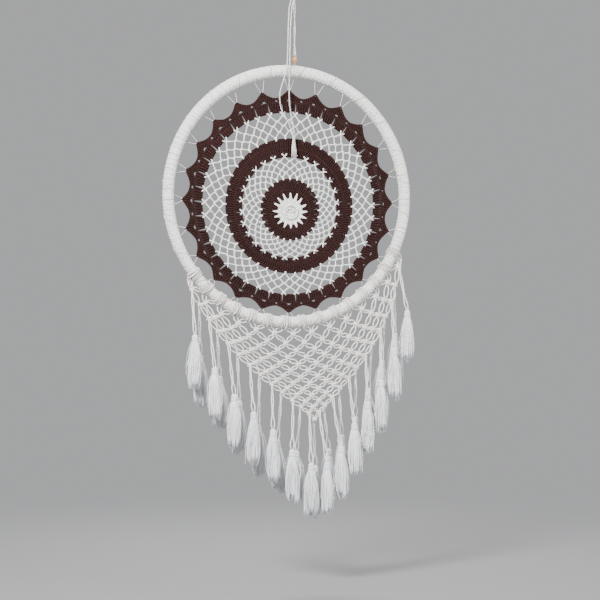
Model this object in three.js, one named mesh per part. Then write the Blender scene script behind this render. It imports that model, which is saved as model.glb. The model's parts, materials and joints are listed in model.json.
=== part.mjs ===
// A round dream catcher: a wrapped cane hoop holding a crocheted doily, with a knotted V-shaped net and a
// fringe of tassels under it. Millimetres, +Z up, the front faces -Y, and the origin is the top of its
// hanging loop.
import * as THREE from 'three';

// Hoop
const HOOP_RADIUS = 167.5;
const HOOP_DROP = 312;
const CORE_RADIUS = 5.2;
const WRAP_INNER_RADIUS = 5.8;
const WRAP_RADIUS = 7.9;
const HOOP_STEPS = 40;
const TUBE_SIDES = 8;
const SEAM_GAP = 0.3;

// Doily, from the middle outwards. It sags, so its middle lies lower than its rim.
const MEDALLION_RADIUS = 16.5;
const INNER_BAND_RADIUS = 40.5;
const INNER_NETTING_RADIUS = 67;
const MIDDLE_BAND_RADIUS = 89;
const OUTER_NETTING_RADIUS = 121;
const SCALLOP_ROOT_RADIUS = 139;
const SCALLOP_SHOULDER_RADIUS = 143;
const SCALLOP_TIP_RADIUS = 149;
const RIM_DROP = 6;
const MIDDLE_DROP = 21.5;
const MIDDLE_SHIFT = 2;
const SCALLOPS = 24;
const MEDALLION_RAYS = 16;
const RAY_DEPTH = 3;
const INNER_NETTING_CELLS = 14;
const OUTER_NETTING_CELLS = 21;
const NETTING_ROWS = 2;
const NETTING_EDGE = 2.5;
const CELL_HEIGHT_SHARE = 0.4;
const CELL_WIDTH_SHARE = 0.38;
const BAND_THICKNESS = 3;
const NETTING_THICKNESS = 2;
const MEDALLION_THICKNESS = 4;
const THREAD_RADIUS = 0.4;
const THREAD_SIDES = 4;
const LACING_REACH = 155.4;
const LACING_SLACK = 1;
const LACING_TENSION = 0.3;

// Knotted net under the hoop
const HITCHES = 15;
const HITCH_SPACING = 8.25;
const HITCH_MIDDLE = 6.1;
const HITCH_WIDTH = 11;
const HITCH_INNER_RADIUS = 8.75;
const HITCH_RADIUS = 10.5;
const HITCH_SIDES = 10;
const FIRST_ROW_RADIUS = 184;
const HITCH_FOOT_RADIUS = 178.6;
const NET_ROWS = 14;
const NET_DEPTH = 115;
const NET_NARROWING = 0.57;
const NET_DRIFT = 17;
const ROW_POWER = 0.87;
const NARROWING_POWER = 2.8;
const DRIFT_POWER = 0.75;
const RIGHT_SIDE_SAG = 0.02;
const NET_THICKNESS = 3;
const STRAND_HALF_WIDTH = 1.7;
const CELL_INSET = 0.3;
const EDGE_MARGIN = 2.6;
const FOOT_HALF_ANGLE = 1;

// Tassels: one at the net's point and one at each knot of its two lower edges
const EDGE_TASSELS = 13;
const STRAND_RADIUS = 1.5;
const STRAND_LENGTH = 63;
const STRAND_VARIATION = 4;
const VARIATION_STEP = 2.3;
const HEAD_RADIUS = 4;
const HEAD_HEIGHT = 8;
const SKIRT_LENGTH = 66;
const SKIRT_RADIUS = 9.5;
const SKIRT_FOOT_RADIUS = 8.6;
const KNOT_OFFSET = 3.4;
const ROW_OFFSET = 10.2;
const POINT_TASSEL_X = 41.5;
const LEFT_PITCH = 13.5;
const RIGHT_PITCH = 9.7;

// Hanger. Everything is placed from the hoop's middle line, then moved to bring the loop to the origin.
const HANGER_X = 8;
const CORD_RADIUS = 1.5;
const LOOP_STEPS = 16;
const HANGER_STEPS = 4;
const LOOP_HEIGHT = 30;
const LOOP_HALF_WIDTH = 7;
const LOOP_FOOT_HALF_WIDTH = 1.8;
const LOOP_WAIST_SHARE = 0.45;
const KNOT_HALF_HEIGHT = 5;
const KNOT_RADIUS = 4.5;
const BINDING_TOP = -117;
const BINDING_HEIGHT = 6;
const BINDING_RADIUS = 2.4;
const BEAD_HEIGHT = 10;
const BEAD_RADIUS = 3.7;
const BEAD_BORE = 1.2;
const BEAD_THREAD_RADIUS = 0.8;
const THREAD_END = -136;
const TAIL_RADIUS = 0.9;
const TAIL_STEPS = 28;
const TUFT_TOP = new THREE.Vector3(4.8, -6, -230);
const TUFT_LENGTH = 30;
const TUFT_RADIUS = 4.5;

const cotton = finish(0xece7df, 0.95);
const brownYarn = finish(0x33201c, 0.95);
const cane = finish(0xb08a5a, 0.7);
const wood = finish(0xc08a4a, 0.55);
const group = new THREE.Group();

function finish(color, roughness) {
  return new THREE.MeshStandardMaterial({ color, roughness, metalness: 0 });
}

function addPiece(name, geometry, material) {
  const piece = new THREE.Mesh(geometry, material);
  piece.name = name;
  group.add(piece);
  return piece;
}

// A point of the hoop's plane: radius from the hoop's middle, angle in degrees from straight down towards +X.
function hoopPoint(radius, degrees) {
  const angle = THREE.MathUtils.degToRad(degrees);
  return new THREE.Vector2(radius * Math.sin(angle), -HOOP_DROP - radius * Math.cos(angle));
}

// A point of the doily: the rings' middles rise towards the rim.
function doilyPoint(radius, angle) {
  const sag = 1 - radius / SCALLOP_TIP_RADIUS;
  const middleX = MIDDLE_SHIFT * sag;
  const middleZ = -HOOP_DROP - RIM_DROP - (MIDDLE_DROP - RIM_DROP) * sag;
  return new THREE.Vector2(middleX + radius * Math.cos(angle), middleZ + radius * Math.sin(angle));
}

// A flat piece, drawn in X and Z, centred on the plane y = 0.
function flatPiece(outline, holes, thickness) {
  const shape = new THREE.Shape(outline);
  shape.holes = holes.map((hole) => new THREE.Path(hole));
  const geometry = new THREE.ExtrudeGeometry(shape, { depth: thickness, bevelEnabled: false });
  geometry.rotateX(Math.PI / 2);
  geometry.translate(0, thickness / 2, 0);
  return geometry;
}

function ringOutline(radiusAt, count) {
  return Array.from({ length: count }, (unused, i) => {
    const angle = (2 * Math.PI * i) / count;
    return doilyPoint(radiusAt(i), angle);
  });
}

function circleSection(radius, sides) {
  return Array.from({ length: sides }, (unused, i) => {
    const angle = (2 * Math.PI * (i + 0.5)) / sides;
    return new THREE.Vector2(radius * Math.cos(angle), radius * Math.sin(angle));
  });
}

function tubeAlong(path, steps, radius, sides, boreRadius = 0) {
  const section = new THREE.Shape(circleSection(radius, sides));
  if (boreRadius > 0) {
    section.holes = [new THREE.Path(circleSection(boreRadius, sides))];
  }
  return new THREE.ExtrudeGeometry(section, { steps, bevelEnabled: false, extrudePath: path });
}

// An arc of the hoop's centre line, in turns from +X through +Z.
class HoopArc extends THREE.Curve {
  constructor(start, end) {
    super();
    this.start = start;
    this.end = end;
  }

  getPoint(t) {
    const angle = this.start + (this.end - this.start) * t;
    return new THREE.Vector3(HOOP_RADIUS * Math.cos(angle), 0, -HOOP_DROP + HOOP_RADIUS * Math.sin(angle));
  }
}

function turned(profile, segments) {
  const geometry = new THREE.LatheGeometry(profile.map(([r, z]) => new THREE.Vector2(r, z)), segments);
  geometry.rotateX(Math.PI / 2);
  return geometry;
}

function addHoop() {
  const core = new THREE.TorusGeometry(HOOP_RADIUS, CORE_RADIUS, TUBE_SIDES, HOOP_STEPS);
  core.rotateX(Math.PI / 2);
  addPiece('hoop_core', core, cane).position.z = -HOOP_DROP;
  const seam = SEAM_GAP / 2 / HOOP_RADIUS;
  const arc = new HoopArc(seam, 2 * Math.PI - seam);
  addPiece('hoop_wrap', tubeAlong(arc, HOOP_STEPS, WRAP_RADIUS, TUBE_SIDES, WRAP_INNER_RADIUS), cotton);
}

function addBand(name, innerRadius, outerRadius, sides) {
  const outline = ringOutline(() => outerRadius - SEAM_GAP, sides);
  const hole = ringOutline(() => innerRadius, sides).reverse();
  addPiece(name, flatPiece(outline, [hole], BAND_THICKNESS), brownYarn);
}

// Netting: two rounds of diamond cells between two circles.
function addNetting(name, innerRadius, outerRadius, cells) {
  const step = (2 * Math.PI) / cells;
  const depth = outerRadius - SEAM_GAP - innerRadius - 2 * NETTING_EDGE;
  const cellHeight = depth / (NETTING_ROWS / 2 + 0.5);
  const holes = [];
  for (let row = 0; row < NETTING_ROWS; row += 1) {
    const middle = innerRadius + NETTING_EDGE + (cellHeight * (row + 1)) / 2;
    for (let i = 0; i < cells; i += 1) {
      const angle = step * (i + row / 2);
      holes.push([
        doilyPoint(middle - cellHeight * CELL_HEIGHT_SHARE, angle),
        doilyPoint(middle, angle - step * CELL_WIDTH_SHARE),
        doilyPoint(middle + cellHeight * CELL_HEIGHT_SHARE, angle),
        doilyPoint(middle, angle + step * CELL_WIDTH_SHARE),
      ]);
    }
  }
  const outline = ringOutline(() => outerRadius - SEAM_GAP, cells * 2);
  holes.push(ringOutline(() => innerRadius, cells * 2).reverse());
  addPiece(name, flatPiece(outline, holes, NETTING_THICKNESS), cotton);
}

function addDoily() {
  const rayRadii = [MEDALLION_RADIUS - RAY_DEPTH, MEDALLION_RADIUS - SEAM_GAP];
  const rays = ringOutline((i) => rayRadii[i % rayRadii.length], MEDALLION_RAYS * rayRadii.length);
  addPiece('centre_medallion', flatPiece(rays, [], MEDALLION_THICKNESS), cotton);
  addBand('inner_band', MEDALLION_RADIUS, INNER_BAND_RADIUS, INNER_NETTING_CELLS * 2);
  addNetting('inner_netting', INNER_BAND_RADIUS, INNER_NETTING_RADIUS, INNER_NETTING_CELLS);
  addBand('middle_band', INNER_NETTING_RADIUS, MIDDLE_BAND_RADIUS, OUTER_NETTING_CELLS * 2);
  addNetting('outer_netting', MIDDLE_BAND_RADIUS, OUTER_NETTING_RADIUS, OUTER_NETTING_CELLS);
  const scallop = [SCALLOP_TIP_RADIUS, SCALLOP_SHOULDER_RADIUS, SCALLOP_ROOT_RADIUS, SCALLOP_SHOULDER_RADIUS];
  const rim = ringOutline((i) => scallop[i % scallop.length], SCALLOPS * scallop.length);
  const hole = ringOutline(() => OUTER_NETTING_RADIUS, OUTER_NETTING_CELLS * 2).reverse();
  addPiece('scalloped_border', flatPiece(rim, [hole], BAND_THICKNESS), brownYarn);
}

// The lacing runs from each scallop tip towards the hoop and back, in one round that ends beside its start.
function addLacing() {
  const stitches = [];
  for (let i = 0; i < SCALLOPS; i += 1) {
    const step = (2 * Math.PI) / SCALLOPS;
    const tip = doilyPoint(SCALLOP_TIP_RADIUS + LACING_SLACK, step * i);
    const between = step * (i + 0.5) + Math.PI / 2;
    const hold = hoopPoint(LACING_REACH, THREE.MathUtils.radToDeg(between));
    stitches.push(new THREE.Vector3(tip.x, 0, tip.y), new THREE.Vector3(hold.x, 0, hold.y));
  }
  const path = new THREE.CatmullRomCurve3(stitches, false, 'catmullrom', LACING_TENSION);
  addPiece('lacing_thread', tubeAlong(path, SCALLOPS * 2, THREAD_RADIUS, THREAD_SIDES), cotton);
}

function hitchAngle(place) {
  return HITCH_MIDDLE + HITCH_SPACING * (place - (HITCHES + 1) / 2);
}

// A knot of the net. Place counts hitches from the left, and the knots of row n hang n / 2 places in from the
// outer hitches.
function netKnot(row, place) {
  const start = hoopPoint(FIRST_ROW_RADIUS, hitchAngle(place));
  const middle = (HITCHES + 1) / 2;
  const middleX = hoopPoint(FIRST_ROW_RADIUS, hitchAngle(middle)).x;
  const depth = (row - 1) / (NET_ROWS - 1);
  const spread = 1 - NET_NARROWING * depth ** NARROWING_POWER;
  const sag = 1 + RIGHT_SIDE_SAG * (place - middle);
  const x = middleX + spread * (start.x - middleX) + NET_DRIFT * depth ** DRIFT_POWER;
  return new THREE.Vector2(x, start.y - NET_DEPTH * sag * depth ** ROW_POWER);
}

function edgeKnot(row, side) {
  return netKnot(row, side < 0 ? 1 + row / 2 : HITCHES - row / 2);
}

function hitchFoot(place) {
  return hoopPoint(HITCH_FOOT_RADIUS, hitchAngle(place));
}

function addHitches() {
  const half = HITCH_WIDTH / 2;
  const section = [
    [HITCH_INNER_RADIUS, -half],
    [HITCH_RADIUS, -half],
    [HITCH_RADIUS, half],
    [HITCH_INNER_RADIUS, half],
    [HITCH_INNER_RADIUS, -half],
  ];
  for (let place = 1; place <= HITCHES; place += 1) {
    const middle = hoopPoint(HOOP_RADIUS, hitchAngle(place));
    const name = `hitch_${String(place).padStart(2, '0')}`;
    const hitch = addPiece(name, turned(section, HITCH_SIDES), cotton);
    hitch.position.set(middle.x, 0, middle.y);
    hitch.rotation.y = Math.PI / 2 - THREE.MathUtils.degToRad(hitchAngle(place));
  }
}

// One diamond of the net, drawn in from its four knots to leave the strands' width.
function netCell(row, place) {
  const corners = [
    row === 0 ? hitchFoot(place) : netKnot(row, place),
    netKnot(row + 1, place - 0.5),
    netKnot(row + 2, place),
    netKnot(row + 1, place + 0.5),
  ];
  const middle = corners.reduce((sum, corner) => sum.add(corner), new THREE.Vector2()).divideScalar(4);
  return corners.map((corner) => corner.clone().lerp(middle, CELL_INSET));
}

function addFringeNet() {
  const outline = [hoopPoint(HITCH_FOOT_RADIUS, hitchAngle(1) - FOOT_HALF_ANGLE)];
  for (let place = 1; place < HITCHES; place += 1) {
    const knot = netKnot(1, place + 0.5);
    outline.push(hitchFoot(place), knot.lerp(hoopPoint(0, 0), STRAND_HALF_WIDTH / FIRST_ROW_RADIUS));
  }
  outline.push(hitchFoot(HITCHES), hoopPoint(HITCH_FOOT_RADIUS, hitchAngle(HITCHES) + FOOT_HALF_ANGLE));
  const outwards = new THREE.Vector2(EDGE_MARGIN, -STRAND_HALF_WIDTH / 2);
  for (let row = 1; row < NET_ROWS; row += 1) {
    outline.push(edgeKnot(row, 1).add(outwards));
  }
  outline.push(edgeKnot(NET_ROWS, 1).add(new THREE.Vector2(0, -EDGE_MARGIN)));
  outwards.x = -EDGE_MARGIN;
  for (let row = NET_ROWS - 1; row >= 1; row -= 1) {
    outline.push(edgeKnot(row, -1).add(outwards));
  }
  const cells = [];
  for (let row = 0; row <= NET_ROWS - 2; row += 1) {
    const first = 2 + row / 2;
    for (let place = first; place <= HITCHES + 1 - first; place += 1) {
      cells.push(netCell(row, place));
    }
  }
  addPiece('fringe_net', flatPiece(outline, cells, NET_THICKNESS), cotton);
}

// A tassel and its pair of strands, which hang from a knot of the net. Row -1 is in front of the net, and
// row 1 is behind it.
function addTassel(name, knot, headX, length, row) {
  const profile = [
    [0, -length - HEAD_HEIGHT - SKIRT_LENGTH],
    [SKIRT_FOOT_RADIUS, -length - HEAD_HEIGHT - SKIRT_LENGTH],
    [SKIRT_RADIUS, -length - HEAD_HEIGHT - SKIRT_LENGTH * 0.75],
    [HEAD_RADIUS * 1.3, -length - HEAD_HEIGHT - SKIRT_LENGTH * 0.15],
    [HEAD_RADIUS * 0.7, -length - HEAD_HEIGHT],
    [HEAD_RADIUS, -length - HEAD_HEIGHT * 0.5],
    [STRAND_RADIUS, -length],
    [STRAND_RADIUS, 0],
    [0, 0],
  ];
  const geometry = turned(profile, TUBE_SIDES);
  const places = geometry.getAttribute('position');
  for (let i = 0; i < places.count; i += 1) {
    if (places.getZ(i) < -length / 2) {
      places.setX(i, places.getX(i) + headX - knot.x);
      places.setY(i, places.getY(i) + row * (ROW_OFFSET - KNOT_OFFSET));
    }
  }
  addPiece(name, geometry, cotton).position.set(knot.x, row * KNOT_OFFSET, knot.y);
}

function addTassels() {
  addTassel('tassel_point', netKnot(NET_ROWS, (HITCHES + 1) / 2), POINT_TASSEL_X, STRAND_LENGTH, 1);
  for (const [side, label, pitch] of [[-1, 'left', LEFT_PITCH], [1, 'right', RIGHT_PITCH]]) {
    for (let place = 1; place <= EDGE_TASSELS; place += 1) {
      const length = STRAND_LENGTH + STRAND_VARIATION * Math.sin(VARIATION_STEP * place);
      const headX = POINT_TASSEL_X + side * pitch * place;
      const row = place % 2 ? -1 : 1;
      const name = `tassel_${label}_${String(place).padStart(2, '0')}`;
      addTassel(name, edgeKnot(NET_ROWS - place, side), headX, length, row);
    }
  }
}

function cordAlong(points, radius, steps) {
  const path = new THREE.CatmullRomCurve3(points.map((point) => new THREE.Vector3(...point)));
  return tubeAlong(path, steps, radius, TUBE_SIDES);
}

function addHanger() {
  const knotTop = -LOOP_HEIGHT;
  const knotBottom = knotTop - 2 * KNOT_HALF_HEIGHT;
  const loop = [
    [HANGER_X - LOOP_FOOT_HALF_WIDTH, 0, knotTop + SEAM_GAP],
    [HANGER_X - LOOP_HALF_WIDTH, 0, -LOOP_HEIGHT * LOOP_WAIST_SHARE],
    [HANGER_X, 0, -CORD_RADIUS],
    [HANGER_X + LOOP_HALF_WIDTH, 0, -LOOP_HEIGHT * LOOP_WAIST_SHARE],
    [HANGER_X + LOOP_FOOT_HALF_WIDTH, 0, knotTop + SEAM_GAP],
  ];
  addPiece('hanging_loop', cordAlong(loop, CORD_RADIUS, LOOP_STEPS), cotton);
  const knot = [
    [0, knotBottom],
    [KNOT_RADIUS * 0.6, knotBottom],
    [KNOT_RADIUS, knotBottom + KNOT_HALF_HEIGHT * 0.7],
    [KNOT_RADIUS, knotTop - KNOT_HALF_HEIGHT * 0.7],
    [KNOT_RADIUS * 0.8, knotTop - SEAM_GAP],
    [0, knotTop - SEAM_GAP],
  ];
  addPiece('top_knot', turned(knot, TUBE_SIDES), cotton).position.x = HANGER_X;
  const cord = [[HANGER_X, 0, knotBottom - SEAM_GAP], [HANGER_X, 0, BINDING_TOP + SEAM_GAP]];
  addPiece('hanger_cord', cordAlong(cord, CORD_RADIUS, HANGER_STEPS), cotton);
  const binding = [
    [0, THREAD_END],
    [BEAD_THREAD_RADIUS, THREAD_END],
    [BEAD_THREAD_RADIUS, BINDING_TOP - BINDING_HEIGHT],
    [BINDING_RADIUS, BINDING_TOP - BINDING_HEIGHT],
    [BINDING_RADIUS, BINDING_TOP],
    [0, BINDING_TOP],
  ];
  addPiece('cord_binding', turned(binding, TUBE_SIDES), cotton).position.x = HANGER_X;
  const beadTop = BINDING_TOP - BINDING_HEIGHT - SEAM_GAP;
  const bead = [
    [BEAD_BORE, beadTop - BEAD_HEIGHT],
    [BEAD_RADIUS * 0.7, beadTop - BEAD_HEIGHT],
    [BEAD_RADIUS, beadTop - BEAD_HEIGHT * 0.65],
    [BEAD_RADIUS, beadTop - BEAD_HEIGHT * 0.35],
    [BEAD_RADIUS * 0.7, beadTop],
    [BEAD_BORE, beadTop],
    [BEAD_BORE, beadTop - BEAD_HEIGHT],
  ];
  addPiece('wooden_bead', turned(bead, TUBE_SIDES), wood).position.x = HANGER_X;
}

// The two loose ends of the hanger's cord pass in front of the hoop and meet in a frayed tuft.
function addTail() {
  const left = [
    [5, -2.8, -41],
    [-1, -5, -60],
    [-3.5, -7.5, -89],
    [-6.2, -10.6, -135],
    [-10.4, -10.8, -154],
    [-16, -9, -176],
    [-13.4, -8, -196],
    [-3.5, -7, -213],
    [3.4, -6.2, -229],
  ];
  const right = [
    [8.4, -3.4, -41],
    [2.6, -5.5, -60],
    [-0.3, -7.5, -89],
    [-2.6, -10.6, -138],
    [-3.3, -10.4, -166],
    [-2.1, -9, -190],
    [2.2, -7.4, -212],
    [6, -6, -229],
  ];
  addPiece('tail_cord_left', cordAlong(left, TAIL_RADIUS, TAIL_STEPS), cotton);
  addPiece('tail_cord_right', cordAlong(right, TAIL_RADIUS, TAIL_STEPS), cotton);
  const tuft = [
    [0, -TUFT_LENGTH],
    [TUFT_RADIUS, -TUFT_LENGTH],
    [TUFT_RADIUS * 0.8, -TUFT_LENGTH * 0.5],
    [TUFT_RADIUS * 0.5, -TUFT_LENGTH * 0.2],
    [TUFT_RADIUS * 0.65, -TUFT_LENGTH * 0.1],
    [TUFT_RADIUS * 0.5, -SEAM_GAP],
    [0, -SEAM_GAP],
  ];
  addPiece('tail_tuft', turned(tuft, TUBE_SIDES), cotton).position.copy(TUFT_TOP);
}

addHoop();
addDoily();
addLacing();
addHitches();
addFringeNet();
addTassels();
addHanger();
addTail();
group.position.x = -HANGER_X;

export default group;
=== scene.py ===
"""A round dream catcher in yarn, cord and crochet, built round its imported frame.

Every size and place in this file is in millimetres, in the frame's own axes: +Z up, the front facing -Y,
and the origin at the top of the hanging loop. YarnWork.build and the other makers turn them into metres.
"""

import json
import logging
import math
import random
from collections.abc import Callable
from dataclasses import dataclass, field
from enum import Enum

import bmesh
import bpy
import numpy as np
from mathutils import Matrix, Vector


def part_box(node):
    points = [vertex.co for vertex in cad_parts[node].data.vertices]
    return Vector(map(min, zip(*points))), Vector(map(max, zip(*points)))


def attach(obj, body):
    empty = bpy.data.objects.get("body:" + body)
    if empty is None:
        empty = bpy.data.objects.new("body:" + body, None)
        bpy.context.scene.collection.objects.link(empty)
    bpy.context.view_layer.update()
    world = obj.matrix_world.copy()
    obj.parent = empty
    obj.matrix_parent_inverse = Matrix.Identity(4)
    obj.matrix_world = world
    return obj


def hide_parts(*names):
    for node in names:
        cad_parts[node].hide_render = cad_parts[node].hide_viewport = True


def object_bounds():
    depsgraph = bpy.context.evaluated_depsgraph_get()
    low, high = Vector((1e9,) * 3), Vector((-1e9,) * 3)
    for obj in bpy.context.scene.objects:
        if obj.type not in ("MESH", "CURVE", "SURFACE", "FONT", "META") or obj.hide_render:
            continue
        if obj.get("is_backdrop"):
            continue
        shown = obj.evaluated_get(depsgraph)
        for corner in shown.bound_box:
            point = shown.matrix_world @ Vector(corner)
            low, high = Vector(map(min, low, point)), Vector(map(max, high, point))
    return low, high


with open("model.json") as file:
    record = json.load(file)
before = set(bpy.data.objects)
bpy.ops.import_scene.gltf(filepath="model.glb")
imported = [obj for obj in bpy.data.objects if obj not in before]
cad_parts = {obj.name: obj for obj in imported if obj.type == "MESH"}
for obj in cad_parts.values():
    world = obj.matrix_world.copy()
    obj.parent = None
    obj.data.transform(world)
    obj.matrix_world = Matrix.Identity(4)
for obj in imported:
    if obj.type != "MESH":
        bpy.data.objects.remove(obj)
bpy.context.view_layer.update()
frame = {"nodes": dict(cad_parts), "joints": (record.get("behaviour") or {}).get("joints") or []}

MM = 0.001
FULL_TURN = 2 * math.pi
BACK = Vector((0, 1, 0))
UP = Vector((0, 0, 1))
NEARLY_ALONG = 0.9
FRAYED_END = 0.35
FIRST_SEED = 100
Line = list[Vector]

log = logging.getLogger("dream_catcher")


# ---------------------------------------------------------------- lines of yarn


def middle_of(node: str) -> Vector:
    """Returns the middle of a node's box, in millimetres."""
    low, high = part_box(node)
    return (Vector(low) + Vector(high)) / 2 / MM


def length_of(line: Line) -> float:
    """Returns a line's length, in the line's own unit."""
    return sum((b - a).length for a, b in zip(line, line[1:]))


def curved(points: Line, step: float = 1.6, closed: bool = False) -> Line:
    """Runs a smooth line through a few points.

    Args:
        points: the points that the line passes.
        step: about how far apart the new points lie.
        closed: whether the last point joins the first.

    Returns:
        The smooth line, without a repeated end point where it is closed.
    """
    count = len(points)
    spans = count if closed else count - 1
    line: Line = []
    for i in range(spans):
        a, b = points[i], points[(i + 1) % count]
        before = points[i - 1] if closed or i > 0 else a - (b - a)
        after = points[(i + 2) % count] if closed or i + 2 < count else b + (b - a)
        pieces = max(1, round((b - a).length / step))
        for k in range(pieces):
            t = k / pieces
            bend = (2 * before - 5 * a + 4 * b - after) * t**2 + (3 * a - before - 3 * b + after) * t**3
            line.append(0.5 * (2 * a + (b - before) * t + bend))
    if not closed:
        line.append(points[-1].copy())
    return line


def sideways(line: Line, closed: bool = False) -> list[tuple[Vector, Vector]]:
    """Works out two directions across a line at each of its points, turning as little as they can.

    Args:
        line: the line's points.
        closed: whether the last point joins the first.

    Returns:
        A pair of unit vectors for each point, square to the line and to each other.
    """
    count = len(line)
    pairs: list[tuple[Vector, Vector]] = []
    across = None
    for i in range(count):
        ahead = line[(i + 1) % count] if closed else line[min(i + 1, count - 1)]
        behind = line[i - 1] if closed else line[max(i - 1, 0)]
        along = (ahead - behind).normalized()
        if across is None:
            across = UP if abs(along.dot(BACK)) > NEARLY_ALONG else BACK
        across = (across - along * across.dot(along)).normalized()
        pairs.append((across, along.cross(across)))
    return pairs


def plied(line: Line, plies: int, offset: float, pitch: float, closed: bool = False) -> list[Line]:
    """Twists several strands together along a line.

    Args:
        line: the middle of the twisted yarn.
        plies: how many strands twist together.
        offset: how far each strand's middle is from the line.
        pitch: the length of one full twist.
        closed: whether the line's ends join.

    Returns:
        One line for each strand.
    """
    pairs = sideways(line, closed)
    total = length_of(line) + ((line[0] - line[-1]).length if closed else 0)
    twist = FULL_TURN * (max(1, round(total / pitch)) / total if closed else 1 / pitch)
    strands: list[Line] = [[] for _ in range(plies)]
    run = 0.0
    for i, point in enumerate(line):
        if i:
            run += (point - line[i - 1]).length
        one, two = pairs[i]
        for k, strand in enumerate(strands):
            angle = twist * run + FULL_TURN * k / plies
            strand.append(point + offset * (math.cos(angle) * one + math.sin(angle) * two))
    return strands


def shares(steps: int) -> list[float]:
    """Returns even shares from 0 to 1, both included."""
    return [i / steps for i in range(steps + 1)]


def heading(turn: float) -> Vector:
    """Returns the level direction at an angle from +X towards +Y, in radians."""
    return Vector((math.cos(turn), math.sin(turn), 0))


def filling(number: int, count: int) -> tuple[float, float]:
    """Places one of many strands so that together they fill a circle evenly.

    Args:
        number: the strand's number, which spirals outwards from the middle.
        count: how many strands there are.

    Returns:
        Its distance from the middle as a share of the circle's radius, and its angle in radians.
    """
    return math.sqrt((number + 0.5) / count), number * math.pi * (3 - math.sqrt(5))


@dataclass
class YarnWork:
    """Lines of yarn that become one mesh of closed round strands, with each one's length in the UV map."""

    radius: float
    sides: int = 6
    lines: list[tuple[Line, float, bool, bool, float | None]] = field(default_factory=list)

    def add(
        self,
        line: Line,
        thickness: float = 1.0,
        closed: bool = False,
        frayed: bool = False,
        shade: float | None = None,
    ) -> None:
        """Adds one strand.

        Args:
            line: the strand's middle.
            thickness: its thickness as a share of the work's own.
            closed: whether its ends join.
            frayed: whether it thins towards its last point.
            shade: how light it is from 0 to 1, or None for chance.
        """
        self.lines.append((line, thickness, closed, frayed, shade))

    def _curve(self) -> bpy.types.Curve:
        """Returns the strands as one bevelled curve, in metres."""
        curve = bpy.data.curves.new("strands", "CURVE")
        curve.dimensions = "3D"
        curve.bevel_depth = self.radius * MM
        curve.bevel_resolution = max(0, (self.sides - 4) // 2)
        for line, thickness, closed, frayed, _ in self.lines:
            spline = curve.splines.new("POLY")
            spline.points.add(len(line) - 1)
            spline.use_cyclic_u = closed
            places = np.ones((len(line), 4))
            places[:, :3] = np.array(line) * MM
            spline.points.foreach_set("co", places.ravel())
            sizes = np.full(len(line), thickness)
            if frayed:
                sizes[-1] *= FRAYED_END
            spline.points.foreach_set("radius", sizes)
        return curve

    def _mark(self, mesh: bpy.types.Mesh) -> None:
        """Puts each strand's length in the UV map and a shade of its own in an attribute."""
        coordinates = np.empty(len(mesh.loops) * 2)
        mesh.uv_layers[0].data.foreach_get("uv", coordinates)
        coordinates = coordinates.reshape(-1, 2)
        shades = np.empty(len(mesh.vertices))
        chance = random.Random(len(self.lines))
        corner = vertex = 0
        sides = len(mesh.vertices) // sum(len(line) for line, *_ in self.lines)
        for line, _, closed, _, shade in self.lines:
            spans = len(line) if closed else len(line) - 1
            corners = spans * sides * 4
            coordinates[corner : corner + corners, 1] *= length_of(line)
            shades[vertex : vertex + len(line) * sides] = chance.random() if shade is None else shade
            corner += corners
            vertex += len(line) * sides
        mesh.uv_layers[0].data.foreach_set("uv", coordinates.ravel())
        mesh.attributes.new("shade", "FLOAT", "POINT").data.foreach_set("value", shades)

    def build(self, name: str) -> bpy.types.Object:
        """Makes the mesh and closes every strand's ends.

        Args:
            name: the piece's name.

        Returns:
            The new object, in the scene.
        """
        maker = bpy.data.objects.new("strands", self._curve())
        bpy.context.collection.objects.link(maker)
        graph = bpy.context.evaluated_depsgraph_get()
        mesh = bpy.data.meshes.new_from_object(maker.evaluated_get(graph))
        spent = maker.data
        bpy.data.objects.remove(maker)
        bpy.data.curves.remove(spent)
        self._mark(mesh)
        work = bmesh.new()
        work.from_mesh(mesh)
        ends = [edge for edge in work.edges if edge.is_boundary]
        bmesh.ops.holes_fill(work, edges=ends, sides=0)
        bmesh.ops.recalc_face_normals(work, faces=work.faces)
        return finished(name, work, mesh)


def finished(name: str, work: bmesh.types.BMesh, mesh: bpy.types.Mesh | None = None) -> bpy.types.Object:
    """Turns a bmesh into a smooth-shaded object in the scene.

    Args:
        name: the piece's name.
        work: the bmesh, which is used up.
        mesh: a mesh to write to, or None for a new one.

    Returns:
        The new object.
    """
    mesh = mesh or bpy.data.meshes.new(name)
    mesh.name = name
    for face in work.faces:
        face.smooth = True
    work.to_mesh(mesh)
    work.free()
    piece = bpy.data.objects.new(name, mesh)
    bpy.context.collection.objects.link(piece)
    return piece


def turned(name: str, profile: list[tuple[float, float]], middle: Vector, segments: int) -> bpy.types.Object:
    """Turns a profile round an upright axis.

    Args:
        name: the piece's name.
        profile: radius and height pairs, which close on the axis or on themselves.
        middle: the axis's foot, in millimetres.
        segments: how many steps the turn takes.

    Returns:
        The new closed object.
    """
    work = bmesh.new()
    corners = [work.verts.new(Vector((r, 0, z)) * MM) for r, z in profile]
    edges = [work.edges.new(pair) for pair in zip(corners, corners[1:])]
    if profile[0][0] > 0:
        edges.append(work.edges.new((corners[-1], corners[0])))
    bmesh.ops.spin(
        work, geom=corners + edges, cent=(0, 0, 0), axis=UP, angle=FULL_TURN, steps=segments, use_merge=True
    )
    bmesh.ops.remove_doubles(work, verts=work.verts, dist=1e-6)
    bmesh.ops.recalc_face_normals(work, faces=work.faces)
    bmesh.ops.translate(work, verts=work.verts, vec=middle * MM)
    return finished(name, work)


# ---------------------------------------------------------------- finishes


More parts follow.
